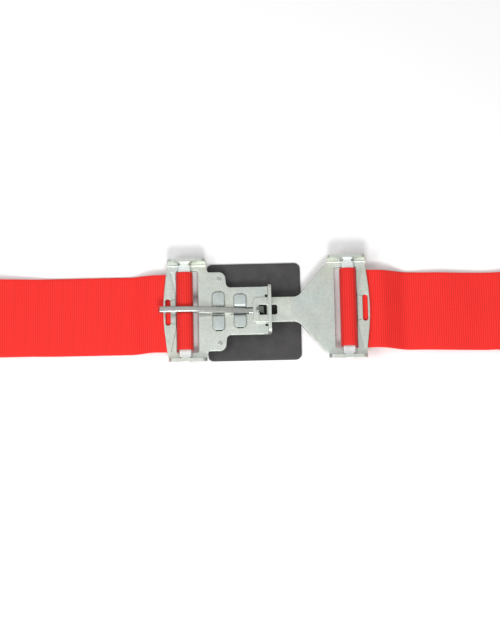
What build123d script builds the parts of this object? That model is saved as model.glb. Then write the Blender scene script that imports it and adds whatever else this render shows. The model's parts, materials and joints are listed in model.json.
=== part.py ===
from build123d import *
import math
import os

# A racing harness's lap-belt buckle: a latch with a hooked lever, the link that it holds, and an
# adjuster at the outer end of each, through which red three-inch webbing runs to a bolt-in anchor.
# X runs along the belt from the latch (-X) to the link (+X), Z is up, Y = 0 is the belt's middle.
# The protective pad lies on z = 0. All sizes are in millimetres.

# Webbing
WEB_WIDTH = 76.2
WEB_THICK = 1.6
LAYER_PITCH = WEB_THICK + 0.3

# Pressed steel plates
SHEET = 3.0
LATCH_Z = 12.0
LINK_Z = LATCH_Z + SHEET + 0.2
FLANGE_HEIGHT = 14.0
FLANGE_Y = 47.0
FLANGE_LEAN = 8.0
BEND_R = 3.0
EDGE_ROUND = 0.5

# Adjuster ends, measured outwards from the slide bar's middle
LATCH_BAR_X = -62.7
LINK_BAR_X = 93.8
LATCH_FLANGE_X = (-78.9, -42.0)
LINK_FLANGE_X = (74.3, 111.2)
LIP_END = 17.0
LIP_BOW = 22.2
WINDOW_IN = -12.9
WINDOW_OUT = 8.5
WINDOW_HALF = 40.0
PULL_SLOT_U = 16.2
PULL_SLOT = (4.8, 25.6)
STEP_LINE = ((8.4, 15.5), (13.6, 39.0))
STEP_DEPTH = 0.9
STEP_SLOPE = 9.0
SLOT_CREASE = ((8.9, 12.4), (13.4, 11.4))
CREASE_WIDTH = 0.9
CREASE_DEPTH = 1.6

# Slide bars
BAR_WIDTH = 12.0
BAR_THICK = 3.0
BAR_LIFT = 4.0
BAR_HALF = 45.2
BAR_END_WIDTH = 8.0
BAR_END_HALF = 50.4
BAR_TRAVEL = 3.0
BAR_PLAY = 0.4

# Latch shoulder and neck, and the portal that guides the tongue
SHOULDER_HALF = 38.6
SHOULDER_END = -24.0
NECK_HALF = 23.4
PORTAL_X = 18.7
PORTAL_HEIGHT = 14.0
PORTAL_GAP = (30.0, 5.4)
RELIEF_HOLE = (15.4, 14.3)
RELIEF_R = 1.4

# Link tongue
TONGUE_X = 2.6
TONGUE_HALF = 12.2
TONGUE_SLOT = (8.0, 25.6)
TONGUE_SLOT_WIDTH = 9.6

# Lever, its pivot and the bracket cheeks that carry it
PIVOT = (-12.0, 7.6)
PIN_R = 2.2
PIN_RUN = 0.05
EYE_R = 4.6
LEVER_THICK = 6.0
HANDLE_ROUND = 1.5
HOOK_R = 23.0
HEAD = ((4.6, 0.9), (14.4, 4.4))
OPENING_X = (-19.2, 15.9)
HEAD_OPENING = (7.5, 5.0)
CHEEK_THICK = 2.0
CHEEK_Y = LEVER_THICK / 2 + 0.4
TABS = ((-36.2, -24.8), (-15.6, -4.0))
TAB_REACH = (18.6, 16.2)
TAB_CORNER = 3.4
TAB_GROOVE = (0.8, 1.2)
STAKE_SLOT = (6.0, 1.2)

# Pad
PAD_THICK = 2.5
PAD_X = (-41.0, 48.5)
PAD_HALF = 47.6
PAD_Y = 1.7
PAD_CORNERS = (4.8, 6.0)
RIVET_X = -29.4
RIVET_Y = 31.5
RIVET_HEAD_R = 2.2

# Strap runs and anchors, measured from the middle of the belt
LOOP_END = 24.5
RUN_START = 27.5
ANCHOR_X = 290.0
SEWN_END = 244.0
TAIL_END = 254.0
ANCHOR_EYE_R = 3.8
ANCHOR_HALF = 46.0
ANCHOR_SLOT = (3.0, 12.5)
ANCHOR_HOLE_V = 42.0
ANCHOR_HOLE_R = 5.75
ANCHOR_END_R = 16.0

# The webbing's way down from each lip: where its two bends are, measured from the run's start
BENDS = {-1: (4.5, 22.0, 20.0), 1: (5.5, 27.0, 20.0)}
TAIL_LOW = {-1: 2.8, 1: 3.2}
TAIL_RUNS = {-1: [(192.0, 3.2, 120.0), (TAIL_END, 11.5, 0)],
             1: [(182.0, 6.6, 90.0), (226.0, 4.2, 90.0), (TAIL_END, 8.3, 0)]}


def ribbon(corners, radii, thick):
    """The face of a bent strip of even thickness, from its middle line's corners and bend radii."""
    sides = []
    for sign in (1, -1):
        points = []
        bends = []
        for i, (a, b) in enumerate(corners):
            before = corners[i - 1] if i else None
            after = corners[i + 1] if i + 1 < len(corners) else None
            normals = []
            for start, end in ((before, (a, b)), ((a, b), after)):
                if start and end:
                    long = math.dist(start, end)
                    normals.append(((start[1] - end[1]) / long, (end[0] - start[0]) / long))
            (na, nb), (ma, mb) = normals[0], normals[-1]
            reach = sign * thick / 2 / (1 + na * ma + nb * mb)
            points.append((a + (na + ma) * reach, b + (nb + mb) * reach))
            if before and after:
                turn = math.copysign(1, na * mb - nb * ma)
                bends.append(radii[i - 1] - sign * turn * thick / 2)
        sides.append(FilletPolyline(*points, radius=bends) if bends else Line(*points))
    first, second = sides
    ends = [Line(first @ 0, second @ 0), Line(first @ 1, second @ 1)]
    return make_face(first.edges() + second.edges() + [end.edge() for end in ends])


def outline(corners):
    """The face inside a closed outline of (x, y, corner radius)."""
    points = [(x, y) for x, y, _ in corners]
    return make_face(FilletPolyline(*points, radius=[r for _, _, r in corners], close=True).edges())


def both_halves(corners):
    """A closed outline from its corners at y >= 0, with those off the middle line mirrored."""
    return outline(corners + [(x, -y, r) for x, y, r in reversed(corners) if y > 0])


def along_y(face, low, high):
    """A face drawn in X and Z, made solid from y = low to y = high."""
    return extrude(Plane.XZ.offset(-high) * face, high - low)


def along_x(face, low, high):
    """A face drawn in Y and Z, made solid from x = low to x = high."""
    return extrude(Plane.YZ.offset(low) * face, high - low)


def along_z(face, low, high):
    """A face drawn in X and Y, made solid from z = low to z = high."""
    return extrude(Plane.XY.offset(low) * face, high - low)


def block(x, y, z):
    """A box from its (low, high) limits."""
    return Pos(sum(x) / 2, sum(y) / 2, sum(z) / 2) * Box(x[1] - x[0], y[1] - y[0], z[1] - z[0])


def rod(start, end, radius):
    """A round rod between two points."""
    middle = Vector(*end) - Vector(*start)
    plane = Plane(origin=start, z_dir=middle)
    return plane * Cylinder(radius, middle.length, align=(Align.CENTER, Align.CENTER, Align.MIN))


def flange_pair(span, bar_x, side, z):
    """The two leaning side flanges of an adjuster end, with the slots for the slide bar."""
    low, high = span
    lean = FLANGE_HEIGHT * math.tan(math.radians(FLANGE_LEAN))
    middle = SHEET / 2
    bend = [(FLANGE_Y - 5, middle), (FLANGE_Y, middle), (FLANGE_Y + lean, FLANGE_HEIGHT)]
    strip = along_x(ribbon(bend, [BEND_R], SHEET), low, high)
    corner = 5.0
    frame = outline([(low, 0, 0.4), (high, 0, 0.4), (high, FLANGE_HEIGHT - 0.4, corner),
                     (low, FLANGE_HEIGHT - 0.4, corner)])
    strip = strip & along_y(frame, 0, FLANGE_Y + 10)
    ends = (-BAR_END_WIDTH / 2 - BAR_PLAY - BAR_TRAVEL, BAR_END_WIDTH / 2 + BAR_PLAY)
    slot_x = sorted(bar_x + side * u for u in ends)
    slot_z = (BAR_LIFT - BAR_PLAY, BAR_LIFT + BAR_THICK + BAR_PLAY)
    strip = strip - block(slot_x, (FLANGE_Y - 6, FLANGE_Y + 10), slot_z)
    strip = Pos(0, 0, z) * strip
    return strip, mirror(strip, about=Plane.XZ)


def adjuster_cuts(bar_x, side, z):
    """The webbing window and the pull-tab slot through the lip."""
    window = both_halves([(bar_x + side * WINDOW_IN, WINDOW_HALF, 2.0),
                          (bar_x + side * WINDOW_OUT, WINDOW_HALF, 2.0)])
    slot = Pos(bar_x + side * PULL_SLOT_U, 0) * RectangleRounded(*PULL_SLOT, PULL_SLOT[0] / 2 - 0.05)
    return along_z(window, z - 1, z + SHEET + 1), along_z(slot, z - 1, z + SHEET + 1)


def lip_cuts(bar_x, side, z):
    """The press marks on the lip: a step beside its raised middle and a crease from the slot."""
    (xa, ya), (xb, yb) = STEP_LINE
    turn = math.degrees(math.atan2(yb - ya, xb - xa))
    wedge = Box(math.dist(*STEP_LINE), 9, 4, align=(Align.MIN, Align.MIN, Align.MIN))
    cuts = [Pos(xa, ya, -STEP_DEPTH) * Rot(0, 0, turn) * Rot(STEP_SLOPE, 0, 0) * wedge]
    for (xa, ya), (xb, yb) in (STEP_LINE, SLOT_CREASE):
        turn = math.degrees(math.atan2(yb - ya, xb - xa))
        crease = Box(math.dist((xa, ya), (xb, yb)), CREASE_WIDTH, 2 * CREASE_DEPTH)
        cuts.append(Pos((xa + xb) / 2, (ya + yb) / 2) * Rot(0, 0, turn) * crease)
    cuts += [mirror(cut, about=Plane.XZ) for cut in cuts]
    if side < 0:
        cuts = [mirror(cut, about=Plane.YZ) for cut in cuts]
    return [Pos(bar_x, 0, z + SHEET) * cut for cut in cuts]


def softened(flat, z):
    """A flat plate with its upper and lower rims rounded."""
    rims = flat.edges().filter_by_position(Axis.Z, z + SHEET - 0.01, z + SHEET + 0.01)
    return fillet(rims, EDGE_ROUND)


def tab_outline(low, high, reach, margin):
    """The outline of one clinched tab on the latch plate, widened by a margin."""
    corner = TAB_CORNER + margin
    return outline([(low - margin, 0, 0.3), (high + margin, 0, 0.3),
                    (high + margin, reach + margin, corner), (low - margin, reach + margin, corner)])


def latch_plate():
    lip = LATCH_BAR_X - LIP_END
    flat = both_halves([(LATCH_BAR_X - LIP_BOW, 0, 200.0), (lip, FLANGE_Y - 4, 0.6),
                        (-41.4, FLANGE_Y - 4, 1.5), (-40.2, SHOULDER_HALF, 1.5),
                        (SHOULDER_END, SHOULDER_HALF, 6.5), (SHOULDER_END + 1.6, NECK_HALF, 4.0),
                        (PORTAL_X - 1, NECK_HALF, 0.5)])
    plate = along_z(flat, LATCH_Z, LATCH_Z + SHEET)
    window, slot = adjuster_cuts(LATCH_BAR_X, -1, LATCH_Z)
    through = (LATCH_Z - 1, LATCH_Z + SHEET + 1)
    opening = block(OPENING_X, (-CHEEK_Y, CHEEK_Y), through)
    head_x, head_half = HEAD_OPENING
    opening += block((head_x, OPENING_X[1]), (-head_half, head_half), through)
    plate = plate - window - slot
    plate = softened(plate, LATCH_Z) - opening - lip_cuts(LATCH_BAR_X, -1, LATCH_Z)
    width, depth = TAB_GROOVE
    for (low, high), reach in zip(TABS, TAB_REACH):
        centre = (low + high) / 2
        over = (LATCH_Z + SHEET - depth, LATCH_Z + SHEET + 1)
        groove = along_z(tab_outline(low, high, reach, width), *over)
        groove -= along_z(tab_outline(low, high, reach, 0), *over)
        groove = groove & block((low - 2, high + 2), (CHEEK_Y + CHEEK_THICK, reach + 2), over)
        plate -= groove
        plate -= mirror(groove, about=Plane.XZ)
        for side in (1, -1):
            y = sorted((side * (CHEEK_Y - 0.1), side * (CHEEK_Y + CHEEK_THICK + 0.8)))
            plate -= block((low - 0.2, high + 0.2), y, through)
            stake = Pos(centre, side * (reach + 0.3), LATCH_Z) * Box(*STAKE_SLOT, 3 * SHEET)
            plate -= stake
    middle = LATCH_Z + SHEET / 2
    bend = [(PORTAL_X - 6, middle), (PORTAL_X, middle), (PORTAL_X, LATCH_Z + PORTAL_HEIGHT)]
    portal = along_y(ribbon(bend, [BEND_R], SHEET), -NECK_HALF, NECK_HALF)
    top = LATCH_Z + PORTAL_HEIGHT
    shape = outline([(-NECK_HALF, LATCH_Z - 1, 0.5), (NECK_HALF, LATCH_Z - 1, 0.5),
                     (NECK_HALF, top, 3.0), (-NECK_HALF, top, 3.0)])
    portal = portal & along_x(shape, 0, PORTAL_X + 10)
    portal -= opening
    gap = (LATCH_Z + SHEET, LATCH_Z + SHEET + PORTAL_GAP[1])
    portal -= block((8, PORTAL_X + 5), (-PORTAL_GAP[0] / 2, PORTAL_GAP[0] / 2), gap)
    plate = plate + portal
    for flange in flange_pair(LATCH_FLANGE_X, LATCH_BAR_X, -1, LATCH_Z):
        plate = plate + flange
    for side in (1, -1):
        plate -= Pos(RIVET_X, side * RIVET_Y, LATCH_Z + SHEET / 2) * Cylinder(1.65, SHEET + 2)
        relief_x, relief_y = RELIEF_HOLE
        plate -= Pos(relief_x, side * relief_y, LATCH_Z + SHEET / 2) * Cylinder(RELIEF_R, SHEET + 2)
    return plate


def link_plate():
    lip = LINK_BAR_X + LIP_END
    flat = both_halves([(TONGUE_X, TONGUE_HALF, 4.0), (45.5, TONGUE_HALF, 9.0),
                        (71.0, FLANGE_Y - 4, 7.0), (lip, FLANGE_Y - 4, 0.6),
                        (LINK_BAR_X + LIP_BOW, 0, 200.0)])
    plate = along_z(flat, LINK_Z, LINK_Z + SHEET)
    window, slot = adjuster_cuts(LINK_BAR_X, 1, LINK_Z)
    length = TONGUE_SLOT[1] - TONGUE_SLOT[0]
    hook_slot = Pos(sum(TONGUE_SLOT) / 2, 0) * RectangleRounded(length, TONGUE_SLOT_WIDTH, 2.0)
    plate = plate - window - slot - along_z(hook_slot, LINK_Z - 1, LINK_Z + SHEET + 1)
    plate = softened(plate, LINK_Z) - lip_cuts(LINK_BAR_X, 1, LINK_Z)
    for flange in flange_pair(LINK_FLANGE_X, LINK_BAR_X, 1, LINK_Z):
        plate = plate + flange
    return plate


def lever():
    """The hooked lever: a handle over the latch, a heel on it, an eye and the hook's beak."""
    px, pz = PIVOT
    top = LATCH_Z + SHEET

    def on_hook(height):
        return (px + math.sqrt(HOOK_R ** 2 - (height - pz) ** 2), height)

    foot, middle, tip = on_hook(top - 0.5), on_hook(top + 3.5), on_hook(top + 7.5)
    upper = [(-87.8, top + 11.6), (-86.4, top + 13.8), (-66, top + 14.0), (-49, top + 12.6),
             (-33, top + 9.0), (-17, top + 4.9), (-5.5, top + 0.8), (-1, top - 0.7)]
    lower = [(7.7, 11.4), (0, 8.1), (px + EYE_R * 0.5, pz - EYE_R * 0.8), (px - EYE_R, pz),
             (-17.6, top - 3), (-18.2, top + 0.2), (-29, top + 0.2), (-34.5, top + 4.0),
             (-49, top + 7.4), (-66, top + 8.4), (-86.6, top + 8.4)]
    back = [(tip[0] + 1.2, tip[1] + 0.8), (11.4, top + 5.4), (13.3, top + 1.6), (13.7, top - 0.9)]
    lines = [Spline(*upper[1:6], tangents=[(1, 0.05), (1, -0.33)]),
             Polyline(upper[5], upper[6], upper[7], foot),
             ThreePointArc(foot, middle, tip),
             Polyline(tip, *back, *lower),
             Polyline(lower[-1], upper[0], upper[1])]
    edges = [edge for line in lines for edge in line.edges()]
    body = make_face(edges)
    body = fillet(body.vertices().filter_by_position(Axis.X, -40, 12).filter_by_position(
        Axis.Y, 0, top + 0.9), 0.8)
    solid = along_y(body, -LEVER_THICK / 2, LEVER_THICK / 2)
    handle = solid.edges().filter_by(lambda edge: edge.length > 25 and edge.center().X < -22)
    solid = fillet(handle.filter_by_position(Axis.Z, top + 5, top + 20), HANDLE_ROUND)
    wide = HEAD[1][1] + 1
    wedge = along_z(both_halves([(x, half, 0.4) for x, half in HEAD]), 0, 60)
    head = along_y(body, -wide, wide) - rod((px, -wide - 1, pz), (px, wide + 1, pz), HOOK_R)
    beak = block((tip[0] - 2, HEAD[1][0] + 2), (-wide, wide), (top + 1, top + 20))
    solid = solid - (beak - wedge) + (head & wedge)
    solid += Pos(px, 0, pz) * Rot(90, 0, 0) * Cylinder(EYE_R, LEVER_THICK)
    return solid - Pos(px, 0, pz) * Rot(90, 0, 0) * Cylinder(PIN_R + PIN_RUN, 20)


def cheek(side):
    """One bracket cheek: it hangs under the latch plate, by two tabs clinched over the top."""
    px, pz = PIVOT
    low = CHEEK_Y
    shape = outline([(TABS[0][0], LATCH_Z - 0.2, 0.3), (TABS[1][1], LATCH_Z - 0.2, 0.3),
                     (TABS[1][1], 6.4, 2.5), (-7.2, 3.4, 2.5), (-16.4, 3.4, 3.5),
                     (TABS[0][0], 8.4, 2.5)])
    plate = along_y(shape, low, low + CHEEK_THICK)
    middle = low + CHEEK_THICK / 2
    over = LATCH_Z + SHEET + 0.1 + CHEEK_THICK / 2
    for (start, end), reach in zip(TABS, TAB_REACH):
        fold = ribbon([(middle, LATCH_Z - 2), (middle, over), (reach, over)], [2.0], CHEEK_THICK)
        tab = along_x(fold, start, end) & along_z(tab_outline(start, end, reach, 0), 0, over + 10)
        rims = tab.edges().filter_by_position(Axis.Z, over + CHEEK_THICK / 2 - 0.01, over + 5)
        plate += fillet(rims.filter_by_position(Axis.Y, low + 3.2, 30), 0.7)
    plate -= Pos(px, low + 1, pz) * Rot(90, 0, 0) * Cylinder(PIN_R + 0.03, 8)
    return plate if side > 0 else mirror(plate, about=Plane.XZ)


SPRING_Y = (CHEEK_Y + CHEEK_THICK + 0.9, 10.2)
CLIP_Y = (10.9, 11.7)


def pivot_pin():
    px, pz = PIVOT
    head = -(CHEEK_Y + CHEEK_THICK + 0.2)
    pin = rod((px, head - 1.6, pz), (px, 12.8, pz), PIN_R)
    pin += rod((px, head - 1.6, pz), (px, head, pz), 3.7)
    groove = rod((px, CLIP_Y[0] - 0.05, pz), (px, CLIP_Y[1] + 0.05, pz), 6)
    return pin - (groove - rod((px, 0, pz), (px, 20, pz), 1.7))


def pivot_clip():
    px, pz = PIVOT
    ring = rod((px, CLIP_Y[0], pz), (px, CLIP_Y[1], pz), 3.9)
    ring -= rod((px, 0, pz), (px, 20, pz), 1.75)
    return ring - block((px - 1.2, px + 1.2), (0, 20), (pz - 6, pz))


def lever_spring():
    """A torsion spring on the pin: one leg bears on the latch plate, the other lifts the hook."""
    px, pz = PIVOT
    wire = 0.6
    mean = 3.4
    start, end = SPRING_Y
    turns = 2.75
    path = Helix((end - start) / turns, end - start, mean, center=(0, 0, 0), direction=(0, 0, 1))
    coil = sweep(Plane(origin=path @ 0, z_dir=path % 0) * Circle(wire), path)
    coil = Pos(px, start, pz) * Rot(-90, 0, 0) * coil
    first = (px + mean, start, pz)
    reach = (2.5, start, 8.2)
    side = (2.5, -2.0, 8.2)
    last = (px, end, pz + mean)
    rest = (px - 12, end, pz + mean)
    for a, b in ((first, reach), (reach, side), (last, rest)):
        coil += rod(a, b, wire)
    for joint in (first, reach, last):
        coil += Pos(*joint) * Sphere(wire)
    return coil


def pad():
    shape = both_halves([(x, PAD_HALF, corner) for x, corner in zip(PAD_X, PAD_CORNERS)])
    solid = Pos(0, PAD_Y, 0) * along_z(shape, 0, PAD_THICK)
    solid = fillet(solid.edges().filter_by_position(Axis.Z, PAD_THICK - 0.01, PAD_THICK + 1), 0.9)
    for side in (1, -1):
        place = Pos(RIVET_X, side * RIVET_Y, 0)
        solid -= place * Cylinder(1.65, 20)
        solid -= place * Cylinder(4.3, 2 * 1.3)
    return solid


def pad_rivets():
    solids = []
    for side in (1, -1):
        x, y = RIVET_X, side * RIVET_Y
        top = LATCH_Z + SHEET
        rivet = rod((x, y, 0.2), (x, y, top + 0.6), 1.6)
        rivet += rod((x, y, 0.2), (x, y, 1.3), 4.0)
        head = rod((x, y, top + 0.05), (x, y, top + 0.9), RIVET_HEAD_R)
        rivet += fillet(head.edges().sort_by(Axis.Z)[-1], 0.6)
        solids.append(rivet)
    return Compound(children=solids)


def pad_spacers():
    solids = []
    for side in (1, -1):
        x, y = RIVET_X, side * RIVET_Y
        sleeve = rod((x, y, PAD_THICK), (x, y, LATCH_Z), 3.4)
        solids.append(sleeve - rod((x, y, 0), (x, y, 20), 1.65))
    return Compound(children=solids)


def slide_bar(bar_x, z):
    width = BAR_WIDTH / 2
    neck = BAR_END_WIDTH / 2
    shape = both_halves([(bar_x - width, BAR_HALF, 0.4), (bar_x - neck, BAR_HALF, 0.4),
                         (bar_x - neck, BAR_END_HALF, 1.0), (bar_x + neck, BAR_END_HALF, 1.0),
                         (bar_x + neck, BAR_HALF, 0.4), (bar_x + width, BAR_HALF, 0.4)])
    flat = along_z(shape, z + BAR_LIFT, z + BAR_LIFT + BAR_THICK)
    section = outline([(-width, 0, 1.2), (width, 0, 1.2), (width, BAR_THICK, 1.2),
                       (-width, BAR_THICK, 1.2)])
    return flat & Pos(bar_x, 0, z + BAR_LIFT) * along_y(section, -60, 60)


def webbing(corners, radii):
    """A length of webbing from its middle line's corners in X and Z."""
    return along_y(ribbon(corners, radii, WEB_THICK), -WEB_WIDTH / 2, WEB_WIDTH / 2)


def layer_heights(z):
    """The middle heights of the tail and of the load strap under a lip at height z."""
    tail = z - 0.3 - WEB_THICK / 2
    return tail, tail - LAYER_PITCH


def strap_loop(bar_x, side, z):
    """The webbing's loop: in under the lip, round the slide bar and back out on top."""
    tail, load = layer_heights(z)
    off = 0.3 + WEB_THICK / 2
    over = z + BAR_LIFT + BAR_THICK + off
    near = BAR_WIDTH / 2 + off
    path = [(LOOP_END, load), (7.5, load), (-near, z + 1.5), (-near, over), (near, over),
            (near, tail), (LOOP_END, tail)]
    return webbing([(bar_x + side * u, height) for u, height in path], [6, 2.2, 2.2, 2.2, 1.7])


def load_strap(bar_x, side, z):
    """The load strap from the adjuster to its sewn loop round the anchor's bar."""
    load = layer_heights(z)[1]
    ground = WEB_THICK / 2
    start = abs(bar_x) + RUN_START
    eye = ANCHOR_EYE_R + WEB_THICK / 2
    top = ground + 2 * eye
    far = ANCHOR_X + eye
    sewn = ground + LAYER_PITCH
    first, second, bend = BENDS[side]
    path = [(start, load), (start + first, load), (start + second, ground), (far, ground),
            (far, top), (ANCHOR_X - 1, top), (ANCHOR_X - 13, sewn), (SEWN_END, sewn)]
    radii = [bend, bend, eye - 0.2, eye - 0.2, 4, 9]
    return webbing([(side * x, height) for x, height in path], radii)


def strap_tail(bar_x, side, z):
    """The adjuster's free tail, above the load strap."""
    start = abs(bar_x) + RUN_START
    first, second, bend = BENDS[side]
    height = layer_heights(z)[0]
    path = [(start, height, 0), (start + first + 0.4, height, bend),
            (start + second + 0.4, TAIL_LOW[side], bend)] + TAIL_RUNS[side]
    return webbing([(side * x, height) for x, height, _ in path], [r for _, _, r in path[1:-1]])


def anchor(side):
    """A bolt-in anchor bracket: a bar for the sewn loop, a joggle down and a bolt hole."""
    centre = WEB_THICK + ANCHOR_EYE_R
    middle = SHEET / 2
    path = [(-3, centre), (15, centre), (21, middle), (ANCHOR_HOLE_V + 20, middle)]
    strip = ribbon([(side * (ANCHOR_X + v), height) for v, height in path], [4, 4], SHEET)
    strip = along_y(strip, -ANCHOR_HALF, ANCHOR_HALF)
    end = ANCHOR_HOLE_V + ANCHOR_END_R
    shape = both_halves([(side * (ANCHOR_X + v), y, r) for v, y, r in (
        (-3, ANCHOR_HALF, 3.0), (14, ANCHOR_HALF, 8.0), (end, ANCHOR_END_R * 0.66, 15.0))])
    strip = strip & along_z(shape, -1, 20)
    slot_x = sorted(side * (ANCHOR_X + v) for v in ANCHOR_SLOT)
    slot = Pos(sum(slot_x) / 2, 0) * RectangleRounded(slot_x[1] - slot_x[0], 80, 2.0)
    strip -= along_z(slot, -1, 20)
    return strip - Pos(side * (ANCHOR_X + ANCHOR_HOLE_V), 0, 0) * Cylinder(ANCHOR_HOLE_R, 20)


def build():
    parts = {
        "latch_plate": latch_plate(),
        "lever_cheek_rear": cheek(1),
        "lever_cheek_front": cheek(-1),
        "pivot_pin": pivot_pin(),
        "pivot_clip": pivot_clip(),
        "lever_spring": lever_spring(),
        "buckle_pad": pad(),
        "pad_rivets": pad_rivets(),
        "pad_spacers": pad_spacers(),
        "latch_lever": lever(),
        "link_plate": link_plate(),
    }
    ends = (("left", LATCH_BAR_X, -1, LATCH_Z), ("right", LINK_BAR_X, 1, LINK_Z))
    for name, bar_x, side, z in ends:
        parts[f"{name}_slide_bar"] = slide_bar(bar_x, z)
        parts[f"{name}_strap_loop"] = strap_loop(bar_x, side, z)
        parts[f"{name}_load_strap"] = load_strap(bar_x, side, z)
        parts[f"{name}_strap_tail"] = strap_tail(bar_x, side, z)
        parts[f"{name}_anchor"] = anchor(side)
    return parts


os.makedirs("parts", exist_ok=True)
for name, solid in build().items():
    export_step(solid, f"parts/{name}.step")
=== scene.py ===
import bpy
import bmesh
import json
import math
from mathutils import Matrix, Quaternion, Vector, noise

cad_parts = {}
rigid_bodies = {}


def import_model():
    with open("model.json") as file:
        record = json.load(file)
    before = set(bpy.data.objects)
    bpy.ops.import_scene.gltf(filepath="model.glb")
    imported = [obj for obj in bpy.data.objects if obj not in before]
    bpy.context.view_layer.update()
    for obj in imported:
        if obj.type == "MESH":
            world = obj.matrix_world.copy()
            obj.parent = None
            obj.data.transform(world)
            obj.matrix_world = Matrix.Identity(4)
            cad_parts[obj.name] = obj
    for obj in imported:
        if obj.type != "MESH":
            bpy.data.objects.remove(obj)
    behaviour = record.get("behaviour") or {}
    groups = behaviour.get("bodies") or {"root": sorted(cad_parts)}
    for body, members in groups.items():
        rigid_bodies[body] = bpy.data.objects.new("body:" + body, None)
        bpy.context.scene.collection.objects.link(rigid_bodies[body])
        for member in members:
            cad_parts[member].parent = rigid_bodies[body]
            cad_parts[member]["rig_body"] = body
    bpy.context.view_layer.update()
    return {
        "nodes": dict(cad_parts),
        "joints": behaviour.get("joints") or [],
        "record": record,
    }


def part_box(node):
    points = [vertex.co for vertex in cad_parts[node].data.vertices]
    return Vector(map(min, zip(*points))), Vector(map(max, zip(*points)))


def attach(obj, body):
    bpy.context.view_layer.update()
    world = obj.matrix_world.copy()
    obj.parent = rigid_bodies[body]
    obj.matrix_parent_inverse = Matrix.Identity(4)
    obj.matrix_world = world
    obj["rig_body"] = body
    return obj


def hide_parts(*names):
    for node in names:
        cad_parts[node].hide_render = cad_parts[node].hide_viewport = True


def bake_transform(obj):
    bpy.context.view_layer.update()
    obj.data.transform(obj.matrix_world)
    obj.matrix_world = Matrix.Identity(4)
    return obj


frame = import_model()

MM = 0.001
SIDES = (("left", -1), ("right", 1))

# Webbing, as in the CAD model, in millimetres
WEB_WIDTH = 76.2
WEB_THICK = 1.6
LAYER_GAP = 0.3
LAYER_PITCH = WEB_THICK + LAYER_GAP
ANCHOR_X = 290.0
ANCHOR_EYE_R = 3.8
SEWN_END = 244.0
TAIL_END = 254.0
TAIL_FOLD = 17.0
TAIL_FOLD_DROP = {"left": 2.1, "right": 2.3}
RUN_START = 27.5
BENDS = {"left": (4.5, 22.0, 20.0), "right": (5.5, 27.0, 20.0)}
TAIL_LOW = {"left": 2.8, "right": 3.2}
TAIL_RUNS = {"left": [(192.0, 3.2, 120.0), (TAIL_END, 11.5, 0.93)],
             "right": [(182.0, 6.6, 90.0), (226.0, 4.2, 90.0), (TAIL_END, 8.3, 0.93)]}

# How far each belt wanders in Y by its tail's end, and how far its load layer and its tail part;
# each starts at a distance outside the bar, takes a length to build up, and fades at the tail's end
WANDER = {"left": 0.0, "right": -2.8}
WANDER_RUN = (15, 125)
LAYER_DRIFT = (0.5, -0.5)
DRIFT_RUN = (12, 40)
FADE = 30

# Painted shade on the webbing drawn round the bar: how much deeper its red is painted on top, and
# more at its turns
BAR_PAINTED_SHADE = (0.11, 0.42)
PAINTED_SHADE_FADE = 2.5

# Plates and slide bars
SHEET = 3.0
BAR_LIFT = 4.0
BAR_THICK = 3.0
BAR_HALF_WIDTH = 6.0

# Weave
RIB_PITCH = 2.1
RIB_STEPS = 4
RIB_DEPTH = 0.15
YARN_PITCH = 1.25
SELVEDGE = 2.2
SELVEDGE_RIB = 0.4
SELVEDGE_SWAY = 0.10
END_THINNING = 0.35

# Stitching: the seam's distance inside the selvedge, the hem's rows and the stitch's length
SEAM_INSET = 6
HEM_ROWS = (3.5, TAIL_FOLD - 4.0)
STITCH_PITCH = 3.4
STITCH_RADIUS = 0.36

# Lever spring: its coil's middle radius, where its leg meets the lever's side, and the leg's rise
SPRING_RADIUS = 3.4
LEVER_HALF = 3.15
LEG_RISE = 2.0

# Pad: its corners at the latch's end and at the link's, its rim's section as (distance in, share of
# the height), and the unevenness of its top
PAD_CORNERS = (4.8, 6.0)
PAD_RIM = ((0.0, 0.0), (0.0, 0.50), (0.12, 0.76), (0.45, 0.93), (1.0, 1.0))
PAD_RINGS = (3.0, 8.0, 16.0, 26.0, 38.0)
PAD_SWAY = 0.12
RIM_WIDTH = 2


# ---------------------------------------------------------------- materials

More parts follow.
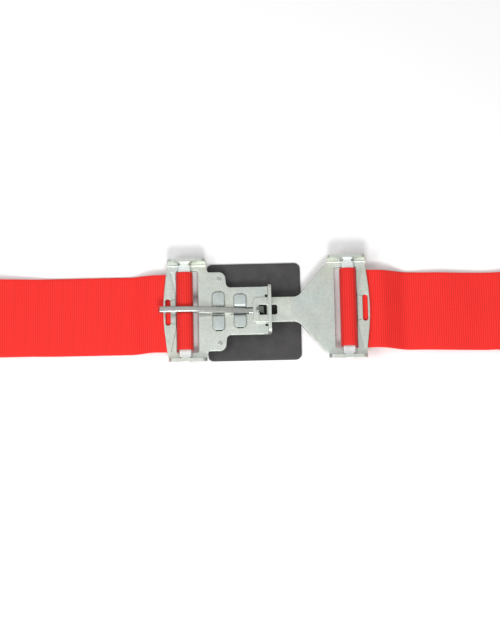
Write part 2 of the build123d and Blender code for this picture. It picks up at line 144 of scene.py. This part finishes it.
class Nodes:
    """Short calls for a material's node tree."""

    def __init__(self, name):
        self.material = bpy.data.materials.new(name)
        self.material.use_nodes = True
        self.tree = self.material.node_tree
        self.shader = self.tree.nodes["Principled BSDF"]
        self.position = self.add("ShaderNodeTexCoord").outputs["Object"]

    def add(self, kind, **values):
        node = self.tree.nodes.new(kind)
        for key, value in values.items():
            setattr(node, key, value)
        return node

    def link(self, output, socket):
        self.tree.links.new(output, socket)

    def set(self, **values):
        for key, value in values.items():
            self.shader.inputs[key.replace("_", " ")].default_value = value

    def scaled(self, vector, scale):
        node = self.add("ShaderNodeMapping")
        node.inputs["Scale"].default_value = scale
        self.link(vector, node.inputs["Vector"])
        return node.outputs["Vector"]

    def noise(self, scale, detail=3.0, vector=None, rough=0.5):
        node = self.add("ShaderNodeTexNoise")
        node.inputs["Scale"].default_value = scale
        node.inputs["Detail"].default_value = detail
        node.inputs["Roughness"].default_value = rough
        self.link(vector or self.position, node.inputs["Vector"])
        return node.outputs["Fac"]

    def ramp(self, value, stops):
        node = self.add("ShaderNodeValToRGB")
        marks = node.color_ramp.elements
        while len(marks) < len(stops):
            marks.new(0.5)
        for mark, (place, colour) in zip(marks, stops):
            mark.position = place
            mark.color = (*colour, 1) if hasattr(colour, "__len__") else (colour,) * 3 + (1,)
        self.link(value, node.inputs["Fac"])
        return node.outputs["Color"]

    def span(self, value, low, high):
        node = self.add("ShaderNodeMapRange")
        node.inputs["To Min"].default_value = low
        node.inputs["To Max"].default_value = high
        self.link(value, node.inputs["Value"])
        return node.outputs["Result"]

    def mix(self, share, first, second, blend="MIX"):
        node = self.add("ShaderNodeMix", data_type="RGBA", blend_type=blend)
        for socket, value in ((node.inputs[0], share), (node.inputs[6], first),
                              (node.inputs[7], second)):
            if hasattr(value, "is_linked"):
                self.link(value, socket)
            elif hasattr(value, "__len__"):
                socket.default_value = (*value, 1)
            else:
                socket.default_value = value
        return node.outputs[2]

    def math(self, operation, first, second):
        node = self.add("ShaderNodeMath", operation=operation)
        for socket, value in zip(node.inputs, (first, second)):
            if hasattr(value, "is_linked"):
                self.link(value, socket)
            else:
                socket.default_value = value
        return node.outputs[0]

    def bump(self, height, strength, distance, normal=None):
        node = self.add("ShaderNodeBump")
        node.inputs["Strength"].default_value = strength
        node.inputs["Distance"].default_value = distance
        self.link(height, node.inputs["Height"])
        if normal:
            self.link(normal, node.inputs["Normal"])
        return node.outputs["Normal"]


def zinc(name, base, rough, tint=0.5, grain=0.5):
    """Zinc-plated pressed steel: satin, clouded, faintly yellow and blue, with fine scratches."""
    m = Nodes(name)
    warm = tuple(c * k for c, k in zip(base, (1.02, 1.0, 0.92)))
    cool = tuple(c * k for c, k in zip(base, (0.93, 0.99, 1.04)))
    clouds = m.ramp(m.noise(38, 4), [(0.35, warm), (0.5, base), (0.66, cool)])
    spangle = m.ramp(m.noise(420, 3, rough=0.6), [(0.3, 0.86), (0.7, 1.0)])
    colour = m.mix(tint, base, clouds)
    colour = m.mix(1.0, colour, spangle, "MULTIPLY")
    along = m.noise(900, 2, m.scaled(m.position, (0.05, 1, 1)))
    across = m.noise(1400, 2, m.scaled(m.position, (1, 0.04, 1)))
    scratches = m.math("MAXIMUM", m.ramp(along, [(0.62, 0.0), (0.72, 1.0)]),
                       m.ramp(across, [(0.66, 0.0), (0.74, 1.0)]))
    colour = m.mix(m.math("MULTIPLY", scratches, 0.16), colour, (0.95, 0.96, 0.95))
    m.link(colour, m.shader.inputs["Base Color"])
    patches = m.noise(90, 4)
    m.link(m.span(patches, rough - 0.10, rough + 0.12), m.shader.inputs["Roughness"])
    m.set(Metallic=1.0)
    normal = m.bump(m.noise(1600, 2), 0.10 * grain, 0.0002)
    normal = m.bump(m.noise(55, 2), 0.30 * grain, 0.0010, normal)
    m.link(m.bump(scratches, 0.10 * grain, 0.00005, normal), m.shader.inputs["Normal"])
    return m.material


def plain_steel(name, base, rough):
    """Bright or dull steel for pins, rivets and springs."""
    m = Nodes(name)
    marks = m.ramp(m.noise(600, 3), [(0.35, tuple(c * 0.8 for c in base)), (0.65, base)])
    m.link(marks, m.shader.inputs["Base Color"])
    m.link(m.span(m.noise(300, 3), rough - 0.06, rough + 0.1), m.shader.inputs["Roughness"])
    m.set(Metallic=1.0)
    m.link(m.bump(m.noise(1500, 2), 0.15, 0.0001), m.shader.inputs["Normal"])
    return m.material


def red_webbing():
    """Woven polyester: cross ribs in the mesh, with warp yarns, fuzz, and a painted highlight and
    shade along the ribs.
    """
    m = Nodes("red_webbing")
    uv = m.add("ShaderNodeUVMap", uv_map="weave").outputs["UV"]
    split = m.add("ShaderNodeSeparateXYZ")
    m.link(uv, split.inputs["Vector"])
    along, across = split.outputs["X"], split.outputs["Y"]
    turn = 2 * math.pi
    rib = m.math("SINE", m.math("MULTIPLY", along, turn / RIB_PITCH), 0.0)
    warp = m.math("SINE", m.math("MULTIPLY", across, turn / YARN_PITCH), 0.0)
    float_ = m.math("SINE", m.math("ADD", m.math("MULTIPLY", along, turn / RIB_PITCH),
                                   m.math("MULTIPLY", across, math.pi / YARN_PITCH)), 0.0)
    # Painted highlight and shade on the weave: the red is painted lighter on one flank of each rib
    # and float and darker on the other, following their relief
    light = m.span(m.math("ADD", rib, m.math("MULTIPLY", float_, 0.5)), 0.0, 1.0)
    painted_shade, bright = (0.68, 0.008, 0.006), (1.0, 0.028, 0.018)
    colour = m.mix(light, painted_shade, bright)
    colour = m.mix(m.span(warp, 0.0, 0.12), colour, (0.66, 0.010, 0.008))
    fibres = m.noise(90, 4, m.scaled(uv, (0.02, 0.05, 1)))
    colour = m.mix(m.math("MULTIPLY", m.ramp(fibres, [(0.4, 0.0), (0.7, 1.0)]), 0.25), colour,
                   (0.92, 0.06, 0.045))
    shade = m.ramp(m.noise(30, 3), [(0.3, 0.94), (0.7, 1.0)])
    colour = m.mix(1.0, colour, shade, "MULTIPLY")
    # Painted shade on the roll round the slide bar: the red is pulled toward a deep red by the
    # per-point amount the mesh carries
    turned = m.add("ShaderNodeAttribute", attribute_name="painted_shade").outputs["Fac"]
    colour = m.mix(turned, colour, (0.20, 0.002, 0.001))
    m.link(colour, m.shader.inputs["Base Color"])
    m.link(m.span(fibres, 0.62, 0.85), m.shader.inputs["Roughness"])
    m.set(Sheen_Weight=0.25, Sheen_Roughness=0.4)
    m.shader.inputs["Specular IOR Level"].default_value = 0.35
    height = m.math("ADD", m.math("MULTIPLY", warp, 0.5), float_)
    m.link(m.bump(height, 0.45, 0.00012), m.shader.inputs["Normal"])
    return m.material


def red_thread():
    """Twisted thread, a deeper red than the webbing."""
    m = Nodes("red_thread")
    twist = m.noise(2500, 2)
    m.link(m.ramp(twist, [(0.35, (0.34, 0.004, 0.006)), (0.7, (0.62, 0.012, 0.012))]),
           m.shader.inputs["Base Color"])
    m.link(m.span(twist, 0.5, 0.7), m.shader.inputs["Roughness"])
    m.link(m.bump(twist, 0.4, 0.0001), m.shader.inputs["Normal"])
    return m.material


def pad_rubber():
    """Dark grey moulded rubber with a fine leathery grain and pale specks."""
    m = Nodes("pad_rubber")
    cells = m.add("ShaderNodeTexVoronoi", feature="DISTANCE_TO_EDGE")
    cells.inputs["Scale"].default_value = 1100
    m.link(m.position, cells.inputs["Vector"])
    dust = m.noise(70, 5, rough=0.65)
    base = m.ramp(dust, [(0.30, (0.036, 0.034, 0.035)), (0.72, (0.060, 0.057, 0.059))])
    specks = m.ramp(m.noise(900, 2), [(0.60, 0.0), (0.78, 1.0)])
    base = m.mix(m.math("MULTIPLY", specks, 0.3), base, (0.12, 0.115, 0.118))
    m.link(base, m.shader.inputs["Base Color"])
    m.link(m.span(dust, 0.55, 0.78), m.shader.inputs["Roughness"])
    m.shader.inputs["Specular IOR Level"].default_value = 0.4
    grain = m.ramp(cells.outputs["Distance"], [(0.0, 0.0), (0.18, 1.0)])
    normal = m.bump(grain, 0.35, 0.00012)
    m.link(m.bump(m.noise(220, 3), 0.25, 0.0004, normal), m.shader.inputs["Normal"])
    return m.material


MATERIALS = {
    "zinc_plate": zinc("zinc_plate", (0.635, 0.672, 0.622), 0.46),
    "cheek_steel": zinc("cheek_steel", (0.52, 0.575, 0.565), 0.55, tint=0.3, grain=0.9),
    "bar_steel": zinc("bar_steel", (0.86, 0.89, 0.88), 0.42, tint=0.3),
    "lever_steel": zinc("lever_steel", (0.50, 0.515, 0.49), 0.28, grain=0.8),
    "anchor_steel": zinc("anchor_steel", (0.61, 0.64, 0.60), 0.42),
    "pin_steel": plain_steel("pin_steel", (0.62, 0.63, 0.62), 0.22),
    "spring_steel": plain_steel("spring_steel", (0.38, 0.39, 0.41), 0.32),
    "pad_rubber": pad_rubber(),
    "red_webbing": red_webbing(),
}
THREAD = red_thread()


def finish_nodes():
    """Gives every CAD node the procedural material of its slot."""
    for entry in frame["record"]["subparts"]:
        data = frame["nodes"][entry["node"]].data
        data.materials.clear()
        data.materials.append(MATERIALS[entry["material_slot"]])


# ---------------------------------------------------------------- metal

# How wide each metal node's softened edges are, in millimetres
EDGES = {
    "latch_plate": 0.35, "link_plate": 0.35, "latch_lever": 0.8, "left_slide_bar": 0.35,
    "right_slide_bar": 0.35, "left_anchor": 0.5, "right_anchor": 0.5, "lever_cheek_front": 0.3,
    "lever_cheek_rear": 0.3,
}
MERGE = 1e-6


def named(rows, name, key="name"):
    """The row of a list in the frame that carries this name."""
    return next(row for row in rows if row[key] == name)


def edged(node, width):
    """A copy of a metal node with its sharp edges softened, shown in the node's place."""
    source = frame["nodes"][node]
    mesh = source.data.copy()
    piece = bpy.data.objects.new(node + "_finished", mesh)
    bpy.context.scene.collection.objects.link(piece)
    shape = bmesh.new()
    shape.from_mesh(mesh)
    bmesh.ops.remove_doubles(shape, verts=shape.verts, dist=MERGE)
    bmesh.ops.dissolve_limit(shape, angle_limit=math.radians(1.0), verts=shape.verts,
                             edges=shape.edges)
    for face in shape.faces:
        face.smooth = True
    shape.to_mesh(mesh)
    shape.free()
    if "custom_normal" in mesh.attributes:
        mesh.attributes.remove(mesh.attributes["custom_normal"])
    bevel = piece.modifiers.new("edges", "BEVEL")
    bevel.width = width * MM
    bevel.segments = 3
    bevel.limit_method = "ANGLE"
    bevel.angle_limit = math.radians(38)
    bevel.harden_normals = True
    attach(piece, source["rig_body"])
    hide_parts(node)


def spring():
    """The lever's spring, cut off at the lever's side, with its long leg raised toward its tip
    where it meets the lever.
    """
    source = frame["nodes"]["lever_spring"]
    pivot = named(frame["joints"], "lever_hinge")["pos_m"]
    leg_start = pivot[0] + SPRING_RADIUS * MM
    leg_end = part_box("lever_spring")[1].x
    shape = bmesh.new()
    shape.from_mesh(source.data)
    bmesh.ops.remove_doubles(shape, verts=shape.verts, dist=MERGE)
    whole = shape.verts[:] + shape.edges[:] + shape.faces[:]
    cut = bmesh.ops.bisect_plane(shape, geom=whole, plane_co=(0, LEVER_HALF * MM, 0),
                                 plane_no=(0, 1, 0), clear_inner=True)
    rim = [piece for piece in cut["geom_cut"] if isinstance(piece, bmesh.types.BMEdge)]
    bmesh.ops.holes_fill(shape, edges=rim, sides=0)
    for vert in shape.verts:
        share = (vert.co.x - leg_start) / (leg_end - leg_start)
        vert.co.z += max(0.0, share) * LEG_RISE * MM
    piece = finished("turned_spring", shape, MATERIALS["spring_steel"])
    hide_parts("lever_spring")
    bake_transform(piece)


# ---------------------------------------------------------------- webbing

def arc_path(points, radii, step):
    """Evenly spaced points along straight runs joined by tangent arcs, in X and Z."""
    pieces = []
    start = Vector(points[0])
    for i in range(1, len(points) - 1):
        corner = Vector(points[i])
        back = (Vector(points[i - 1]) - corner).normalized()
        ahead = (Vector(points[i + 1]) - corner).normalized()
        half = back.angle(ahead) / 2
        reach = radii[i - 1] / math.tan(half)
        first, last = corner + back * reach, corner + ahead * reach
        centre = corner + (back + ahead).normalized() * radii[i - 1] / math.sin(half)
        pieces.append([start, first])
        turn = math.pi - 2 * half
        count = max(2, math.ceil(radii[i - 1] * turn / (step / 3)))
        arm, end = first - centre, last - centre
        sign = 1 if arm.cross(end) > 0 else -1
        pieces.append([centre + Vector((
            arm.x * math.cos(a) - arm.y * math.sin(a), arm.x * math.sin(a) + arm.y * math.cos(a)))
            for a in (sign * turn * k / count for k in range(count + 1))])
        start = last
    pieces.append([start, Vector(points[-1])])
    dense = []
    for piece in pieces:
        for point in piece:
            if not dense or (point - dense[-1]).length > 1e-5:
                dense.append(point)
    return spaced(dense, step)


def spaced(dense, step):
    """Points every step along a line, from its first point to its last."""
    lengths = [0.0]
    for a, b in zip(dense, dense[1:]):
        lengths.append(lengths[-1] + (b - a).length)
    count = max(2, round(lengths[-1] / step))
    out, k = [], 0
    for i in range(count + 1):
        want = lengths[-1] * i / count
        while k < len(dense) - 2 and lengths[k + 1] < want:
            k += 1
        share = (want - lengths[k]) / max(lengths[k + 1] - lengths[k], 1e-9)
        out.append(dense[k].lerp(dense[k + 1], min(1.0, share)))
    return out


def woven_strip(name, line, shifts, painted_shades, columns=30):
    """Webbing along a line in X and Z: ribbed on both faces, with rolled selvedges.

    Each point of the line has a shift in Y and an amount of painted shade, which the material
    reads."""
    across = []
    edge = WEB_THICK / 2
    for k in range(columns + 1):
        across.append((-WEB_WIDTH / 2 + edge + (WEB_WIDTH - 2 * edge) * k / columns, edge))
    rounding = [(WEB_WIDTH / 2 - edge + edge * math.sin(a), edge * math.cos(a))
                for a in (math.pi * k / 6 for k in range(1, 6))]
    upper = across
    lower = [(y, -z) for y, z in reversed(across)]
    ring = upper + rounding + lower + [(-y, -z) for y, z in rounding]
    verts, uvs, painted_shade_values = [], [], []
    step = RIB_PITCH / RIB_STEPS
    for i, point in enumerate(line):
        before, after = line[max(0, i - 1)], line[min(len(line) - 1, i + 1)]
        tangent = (after - before).normalized()
        normal = Vector((-tangent.y, tangent.x))
        wave = math.cos(2 * math.pi * i / RIB_STEPS)
        end = min(i, len(line) - 1 - i)
        thin = 1 - END_THINNING * max(0, 1 - end / 2)
        for y, z in ring:
            inner = abs(y) < WEB_WIDTH / 2 - SELVEDGE
            depth = RIB_DEPTH * wave if inner else RIB_DEPTH * SELVEDGE_RIB * wave
            high = z * thin * (1 - RIB_DEPTH / WEB_THICK)
            high += math.copysign(depth, z) * (abs(z) / edge)
            side = y + (SELVEDGE_SWAY * wave if not inner else 0.0) * (1 if y > 0 else -1)
            verts.append(((point.x + normal.x * high) * MM, (side + shifts[i]) * MM,
                          (point.y + normal.y * high) * MM))
            uvs.append((i * step, y))
            painted_shade_values.append(painted_shades[i])
    count = len(ring)
    faces = []
    for i in range(len(line) - 1):
        for k in range(count):
            n = (k + 1) % count
            faces.append((i * count + k, i * count + n, (i + 1) * count + n, (i + 1) * count + k))
    first = tuple(range(count))
    last = tuple(reversed(range((len(line) - 1) * count, len(line) * count)))
    for cap in (first, last):
        half = count // 2
        faces += [(cap[k], cap[-k - 1], cap[-k - 2], cap[k + 1]) for k in range(half - 1)]
    mesh = bpy.data.meshes.new(name)
    mesh.from_pydata(verts, [], faces)
    # The per-point amount of painted shade, kept on the mesh for the material
    painted_shade = mesh.attributes.new("painted_shade", "FLOAT", "POINT")
    painted_shade.data.foreach_set("value", painted_shade_values)
    layer = mesh.uv_layers.new(name="weave")
    for loop in mesh.loops:
        layer.data[loop.index].uv = uvs[loop.vertex_index]
    shape = bmesh.new()
    shape.from_mesh(mesh)
    bmesh.ops.recalc_face_normals(shape, faces=shape.faces)
    for face in shape.faces:
        face.smooth = True
    shape.to_mesh(mesh)
    shape.free()
    piece = bpy.data.objects.new(name, mesh)
    bpy.context.scene.collection.objects.link(piece)
    mesh.materials.append(MATERIALS["red_webbing"])
    return piece


def bar_middle(name):
    """The middle of one slide bar, in millimetres."""
    low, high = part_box(f"{name}_slide_bar")
    return (low + high) / 2 / MM


def webbing_path(name):
    """One side's webbing as corners of (distance out, height, bend radius).

    It runs from its sewn end, round the anchor's bar, under the lip, round the slide bar and back
    over itself to the tail's folded end."""
    bar = bar_middle(name)
    out = abs(bar.x)
    plate = bar.z - BAR_THICK / 2 - BAR_LIFT
    ground = WEB_THICK / 2
    eye = ANCHOR_EYE_R + WEB_THICK / 2
    sewn = ground + LAYER_PITCH
    tail = plate - LAYER_GAP - WEB_THICK / 2
    load = tail - LAYER_PITCH
    near = BAR_HALF_WIDTH + LAYER_GAP + WEB_THICK / 2 + 0.1
    over = bar.z + BAR_THICK / 2 + 1.7
    start = out + RUN_START
    first, second, bend = BENDS[name]
    path = [
        (SEWN_END, sewn, 0), (ANCHOR_X - 13, sewn, 9), (ANCHOR_X - 1, ground + 2 * eye, 4),
        (ANCHOR_X + eye, ground + 2 * eye, eye - 0.2), (ANCHOR_X + eye, ground, eye - 0.2),
        (start + second, ground, bend), (start + first, load, bend), (out + 7.5, load, 6),
        (out - near, plate + SHEET / 2, 2.2), (out - near, over, 4.0), (out, over + 1.3, 12),
        (out + near, over, 4.0), (out + near, tail, 1.7), (start + first + 0.4, tail, bend),
        (start + second + 0.4, TAIL_LOW[name], bend)]
    end, height, fold = TAIL_RUNS[name][-1]
    return path + TAIL_RUNS[name] + [
        (end + 0.3, height - LAYER_PITCH, fold),
        (end - TAIL_FOLD, height - LAYER_PITCH - TAIL_FOLD_DROP[name], 0)]


def eased(value, start, length):
    """0 before start, 1 after start + length, and smooth between."""
    share = min(1.0, max(0.0, (value - start) / length))
    return share * share * (3 - 2 * share)


def webbing_line(name, side):
    """The webbing's middle line in X and Z, with each point's shift in Y and amount of painted
    shade.
    """
    path = webbing_path(name)
    points = [(side * x, z) for x, z, _ in path]
    line = arc_path(points, [r for _, _, r in path[1:-1]], RIB_PITCH / RIB_STEPS)
    out = abs(bar_middle(name).x)
    crest = max(range(len(line)), key=lambda i: line[i].y if abs(line[i].x) < out + 12 else -1)
    shifts, painted_shades = [], []
    for i, point in enumerate(line):
        x = abs(point.x)
        wander = WANDER[name] * eased(x, out + WANDER_RUN[0], WANDER_RUN[1])
        wander *= 1 - eased(x, TAIL_END, FADE)
        layer = LAYER_DRIFT[1 if i > crest else 0] * eased(x, out + DRIFT_RUN[0], DRIFT_RUN[1])
        shifts.append(wander + layer * (1 - eased(x, TAIL_END, FADE)))
        run = line[min(i + 2, len(line) - 1)] - line[max(i - 2, 0)]
        # Painted shade: the webbing over the bar gets a darker red, a little on top and more on its
        # steep turns, standing in for the roll's shading
        on_bar = 1 - eased(abs(x - out), BAR_HALF_WIDTH + 2, PAINTED_SHADE_FADE)
        painted_shades.append(on_bar * (BAR_PAINTED_SHADE[0] + BAR_PAINTED_SHADE[1] * abs(run.normalized().y)))
    return line, shifts, painted_shades


def tail_height(line, x):
    """The height of the tail's upper face at x, from the last stretch of the webbing's line."""
    stretch = line[-round(120 * RIB_STEPS / RIB_PITCH):]
    point = max((p for p in stretch if abs(p.x - x) < RIB_PITCH), key=lambda p: p.y)
    return point.y + WEB_THICK / 2


def stitching(name, side, line):
    """The thread: a crossed box on the sewn loop, and two rows that hold the tail's folded end."""
    shape = bmesh.new()
    x_near, x_far, half = SEWN_END + 4, ANCHOR_X - 17, WEB_WIDTH / 2 - SEAM_INSET
    top = WEB_THICK + LAYER_PITCH
    corners = [(x_near, -half), (x_far, -half), (x_far, half), (x_near, half)]
    runs = [(a, b, top, top) for a, b in zip(corners, corners[1:] + corners[:1])]
    runs += [(corners[0], corners[2], top, top), (corners[1], corners[3], top, top)]
    for inset in HEM_ROWS:
        x = TAIL_END - inset
        height = tail_height(line, side * x)
        runs.append(((x, -half), (x, half), height, height))
    for (xa, ya), (xb, yb), za, zb in runs:
        start, end = Vector((side * xa, ya, za)), Vector((side * xb, yb, zb))
        count = round((end - start).length / STITCH_PITCH)
        for k in range(count):
            stitch(shape, start.lerp(end, (k + 0.12) / count), start.lerp(end, (k + 0.88) / count))
    piece = finished(f"{name}_stitching", shape, THREAD)
    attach(piece, f"{name}_strap")


def stitch(shape, start, end, sides=6):
    """One stitch: a thread that dips into the webbing at both ends."""
    along = (end - start).normalized()
    across = along.cross(Vector((0, 0, 1))).normalized()
    rings = []
    for place, size, sink in ((0.0, 0.5, -0.30), (0.15, 0.9, 0.02), (0.5, 1.0, 0.14),
                              (0.85, 0.9, 0.02), (1.0, 0.5, -0.30)):
        centre = start.lerp(end, place) + Vector((0, 0, sink))
        ring = []
        for k in range(sides):
            turn = 2 * math.pi * k / sides
            arm = across * math.cos(turn) + Vector((0, 0, 1)) * math.sin(turn)
            ring.append(shape.verts.new((centre + arm * STITCH_RADIUS * size) * MM))
        rings.append(ring)
    for a, b in zip(rings, rings[1:]):
        for k in range(sides):
            n = (k + 1) % sides
            shape.faces.new((a[k], a[n], b[n], b[k]))
    shape.faces.new(list(reversed(rings[0])))
    shape.faces.new(rings[-1])


def finished(name, shape, material):
    """A smooth-shaded object from a bmesh."""
    bmesh.ops.recalc_face_normals(shape, faces=shape.faces)
    for face in shape.faces:
        face.smooth = True
    mesh = bpy.data.meshes.new(name)
    shape.to_mesh(mesh)
    shape.free()
    mesh.materials.append(material)
    piece = bpy.data.objects.new(name, mesh)
    bpy.context.scene.collection.objects.link(piece)
    return piece


def straps():
    """Each side's webbing as one woven strip, with its stitching."""
    for name, side in SIDES:
        line, shifts, painted_shades = webbing_line(name, side)
        piece = woven_strip(f"{name}_webbing", line, shifts, painted_shades)
        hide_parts(f"{name}_strap_loop", f"{name}_load_strap", f"{name}_strap_tail")
        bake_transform(piece)
        stitching(name, side, line)


# ---------------------------------------------------------------- pad

def pad():
    """The rubber pad: a slightly uneven slab with a rounded rim and rounded corners."""
    low, high = (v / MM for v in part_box("buckle_pad"))
    rim = list(PAD_RIM) + [(inset, 1.0) for inset in PAD_RINGS]
    outline = []
    for sx, sy, first in ((1, 1, 0), (-1, 1, 90), (-1, -1, 180), (1, -1, 270)):
        radius = PAD_CORNERS[0] if sx < 0 else PAD_CORNERS[1]
        x = high.x - radius if sx > 0 else low.x + radius
        y = high.y - radius if sy > 0 else low.y + radius
        for k in range(9):
            turn = math.radians(first + 90 * k / 8)
            outline.append(Vector((x + radius * math.cos(turn), y + radius * math.sin(turn))))
    base = []
    for a, b in zip(outline, outline[1:] + outline[:1]):
        count = max(1, round((b - a).length / 4))
        base += [a.lerp(b, k / count) for k in range(count)]
    shape = bmesh.new()
    rings = []
    for inset, share in rim:
        ring = []
        for point in base:
            x = min(max(point.x, low.x + inset), high.x - inset)
            y = min(max(point.y, low.y + inset), high.y - inset)
            if inset < RIM_WIDTH:
                radius = PAD_CORNERS[0] if point.x < 0 else PAD_CORNERS[1]
                cx = min(max(point.x, low.x + radius), high.x - radius)
                cy = min(max(point.y, low.y + radius), high.y - radius)
                arm = point - Vector((cx, cy))
                x, y = Vector((cx, cy)) + arm * (1 - inset / arm.length)
            waves = noise.noise(Vector((x, y, 3)) * 0.04)
            sway = PAD_SWAY * waves - PAD_SWAY / 2 if share == 1.0 else 0
            ring.append(shape.verts.new((x * MM, y * MM, (share * high.z + sway) * MM)))
        rings.append(ring)
    for a, b in zip(rings, rings[1:]):
        for k in range(len(a)):
            n = (k + 1) % len(a)
            shape.faces.new((a[k], a[n], b[n], b[k]))
    shape.faces.new(rings[-1])
    shape.faces.new(list(reversed(rings[0])))
    bmesh.ops.remove_doubles(shape, verts=shape.verts, dist=1e-5)
    bmesh.ops.triangulate(shape, faces=[f for f in shape.faces if len(f.verts) > 4])
    piece = finished("moulded_pad", shape, MATERIALS["pad_rubber"])
    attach(piece, "latch")
    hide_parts("buckle_pad")


# ---------------------------------------------------------------- stage

def light(name, place, target, size, power):
    """A rectangular lamp that faces a point."""
    data = bpy.data.lights.new(name, "AREA")
    data.shape = "RECTANGLE"
    data.size, data.size_y = size
    data.energy = power
    lamp = bpy.data.objects.new(name, data)
    bpy.context.scene.collection.objects.link(lamp)
    lamp.location = place
    lamp.rotation_euler = (Vector(target) - Vector(place)).to_track_quat("-Z", "Y").to_euler()


def stage():
    """A white floor, a bright overhead sky that darkens to the sides, and two lamps in front."""
    bpy.ops.mesh.primitive_plane_add(size=6)
    floor = bpy.context.object
    floor.name = "floor"
    m = Nodes("floor")
    m.link(m.ramp(m.noise(3, 2), [(0.3, 0.90), (0.7, 0.92)]), m.shader.inputs["Base Color"])
    m.set(Roughness=0.8)
    m.shader.inputs["Specular IOR Level"].default_value = 0.2
    floor.data.materials.append(m.material)
    floor.location.z = -0.0001
    world = bpy.data.worlds.new("studio")
    bpy.context.scene.world = world
    world.use_nodes = True
    tree = world.node_tree
    back = tree.nodes["Background"]
    place = tree.nodes.new("ShaderNodeTexCoord")
    split = tree.nodes.new("ShaderNodeSeparateXYZ")
    ramp = tree.nodes.new("ShaderNodeValToRGB")
    marks = ramp.color_ramp.elements
    marks[0].position, marks[0].color = 0.1, (0.28, 0.28, 0.285, 1)
    marks[1].position, marks[1].color = 0.85, (1.0, 1.0, 1.0, 1)
    tree.links.new(place.outputs["Generated"], split.inputs["Vector"])
    tree.links.new(split.outputs["Z"], ramp.inputs["Fac"])
    tree.links.new(ramp.outputs["Color"], back.inputs["Color"])
    back.inputs["Strength"].default_value = 0.79
    light("key", (0.0, -0.75, 1.05), (0, 0, 0), (0.34, 0.26), 8.5)
    light("fill", (-0.60, -0.35, 1.05), (0, 0, 0), (0.5, 0.5), 5.0)


def camera():
    """The photographer's view: from high in front, turned a little so that the link's end is up."""
    distance, height, roll = 3.0, math.radians(77.0), math.radians(1.25)
    aim = Vector((-0.0004, 0.0016, 0.0))
    seen = 0.6016
    data = bpy.data.cameras.new("camera")
    eye = bpy.data.objects.new("camera", data)
    bpy.context.scene.collection.objects.link(eye)
    eye.location = aim + Vector((0, -math.cos(height), math.sin(height))) * distance
    eye.rotation_mode = "QUATERNION"
    look = (aim - eye.location).to_track_quat("-Z", "Y")
    eye.rotation_quaternion = look @ Quaternion((0, 0, 1), -roll)
    data.sensor_width = 36.0
    data.lens = data.sensor_width * distance / seen
    data.clip_start = 0.05
    bpy.context.scene.camera = eye


camera()
stage()
finish_nodes()
for node, width in EDGES.items():
    edged(node, width)
spring()
straps()
pad()

bpy.context.scene.view_settings.view_transform = "Standard"
